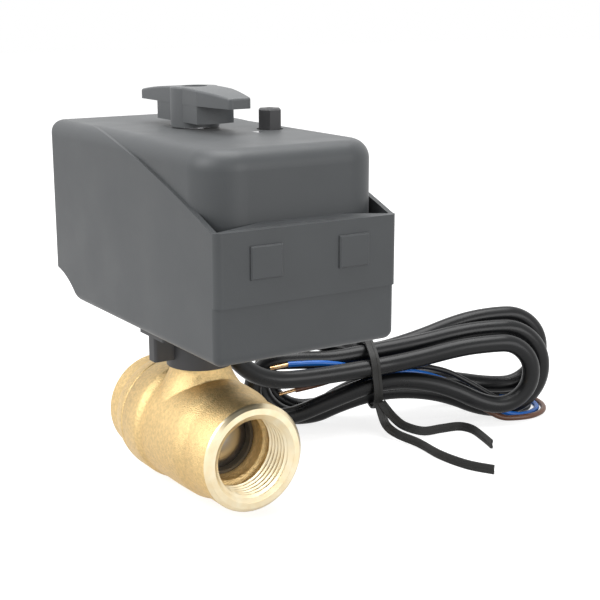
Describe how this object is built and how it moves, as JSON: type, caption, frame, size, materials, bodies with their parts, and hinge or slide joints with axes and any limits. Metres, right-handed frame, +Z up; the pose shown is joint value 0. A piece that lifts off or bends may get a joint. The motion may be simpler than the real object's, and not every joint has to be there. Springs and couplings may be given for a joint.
{
  "type": "motorised ball valve",
  "caption": "Brass ball valve with threaded pipe ports under a geared electric actuator with turning knob, release button, and a tied supply lead.",
  "frame": {"origin": "centre of the near pipe port's face, on the pipe axis", "axes": "+Y along the pipe from the near port to the far port, +Z up along the valve stem, +X to the right seen from the near port"},
  "size_m": [0.1827, 0.1179, 0.1305],
  "materials": {
    "brass": "matte sand-blasted skin, turned bright on the port rings and in the threads",
    "ball_chrome": "polished chrome plate",
    "seat_white": "white fluoropolymer, smooth",
    "bright_steel": "bright zinc plated or drawn steel",
    "plate_steel": "zinc plated sheet",
    "shell_grey": "dark grey moulded plastic with a fine spark-eroded grain",
    "black_plastic": "black glass-filled nylon, faint grain",
    "gear_white": "natural acetal, smooth",
    "window_clear": "clear polycarbonate",
    "seal_rubber": "black nitrile rubber",
    "board_green": "green solder mask",
    "terminal_green": "green moulded nylon",
    "capacitor_sleeve": "dark blue sleeve",
    "cable_sheath": "black sheath with soft sheen",
    "tie_black": "flat ribbed black tie strip",
    "core_brown": "brown core insulation",
    "core_blue": "blue core insulation",
    "core_black": "black core insulation",
    "copper": "bare tinned copper strands"
  },
  "bodies": {
    "root": {"ball_seats": "seat_white", "button_spring": "bright_steel", "cable_hank": "cable_sheath", "cable_lead": "cable_sheath", "cable_tie": "tie_black", "circuit_board": "board_green", "closed_limit_switch": "black_plastic", "drive_motor": "plate_steel", "end_piece": "brass", "foot_screws": "bright_steel", "housing_base": "shell_grey", "housing_cover": "shell_grey", "housing_screws": "bright_steel", "housing_seal": "seal_rubber", "lower_chassis_plate": "plate_steel", "motor_capacitor": "capacitor_sleeve", "motor_screws": "bright_steel", "mounting_nut": "bright_steel", "neck_adapter": "black_plastic", "neck_screws": "bright_steel", "open_limit_switch": "black_plastic", "plate_pillars": "plate_steel", "plate_screws": "bright_steel", "release_pin": "bright_steel", "status_window": "window_clear", "strain_relief": "black_plastic", "terminal_block": "terminal_green", "thrust_washer": "seat_white", "transfer_axle": "bright_steel", "upper_chassis_plate": "plate_steel", "valve_body": "brass", "wire_black": "core_black", "wire_blue": "core_blue", "wire_brown": "core_brown", "wire_tips": "copper"},
    "output": {"ball": "ball_chrome", "valve_stem": "bright_steel", "stem_o_rings": "seal_rubber", "output_shaft": "bright_steel", "output_gear": "gear_white", "closed_limit_cam": "gear_white", "open_limit_cam": "gear_white", "knob": "shell_grey", "knob_screw": "bright_steel", "knob_cap": "shell_grey"},
    "button": {"release_button": "black_plastic"},
    "release": {"release_gear": "gear_white"},
    "transfer": {"transfer_gear": "gear_white"},
    "rotor": {"motor_pinion": "plate_steel"},
    "closed_lever": {"closed_switch_lever": "plate_steel"},
    "open_lever": {"open_switch_lever": "plate_steel"}
  },
  "joints": [
    {"name": "output_turn", "type": "hinge", "parent": "root", "child": "output", "pos_m": [0, 0.0345, 0.06], "axis": [0, 0, 1], "range_deg": [0, 90]},
    {"name": "button_press", "type": "slide", "parent": "root", "child": "button", "axis": [0, 0, -1], "range_m": [0, 0.0031], "stiffness_N_per_m": 400, "springref_m": -0.002, "deforming": ["button_spring"]},
    {"name": "release_spin", "type": "hinge", "parent": "button", "child": "release", "pos_m": [0.01621, 0.01681, 0.055], "axis": [0, 0, 1], "range_deg": [-270, 0]},
    {"name": "transfer_spin", "type": "hinge", "parent": "root", "child": "transfer", "pos_m": [0.00534, 0.01173, 0.06], "axis": [0, 0, 1], "range_deg": [0, 540]},
    {"name": "rotor_spin", "type": "hinge", "parent": "root", "child": "rotor", "pos_m": [0.00052, 0.00485, 0.062], "axis": [0, 0, 1], "range_deg": [-1350, 0]},
    {"name": "closed_lever_swing", "type": "hinge", "parent": "root", "child": "closed_lever", "pos_m": [-0.0054, 0.04455, 0.07], "axis": [0, 0, 1], "range_deg": [-6, 0]},
    {"name": "open_lever_swing", "type": "hinge", "parent": "root", "child": "open_lever", "pos_m": [-0.0054, 0.04455, 0.076], "axis": [0, 0, 1], "range_deg": [0, 6]}
  ],
  "couplings": [
    {"joint": "release_spin", "follows": "output_turn", "ratio": -3},
    {"joint": "transfer_spin", "follows": "output_turn", "ratio": 6},
    {"joint": "rotor_spin", "follows": "output_turn", "ratio": -15},
    {"joint": "closed_lever_swing", "follows": "output_turn", "ratio": -0.0666},
    {"joint": "open_lever_swing", "follows": "output_turn", "ratio": 0.0666}
  ]
}
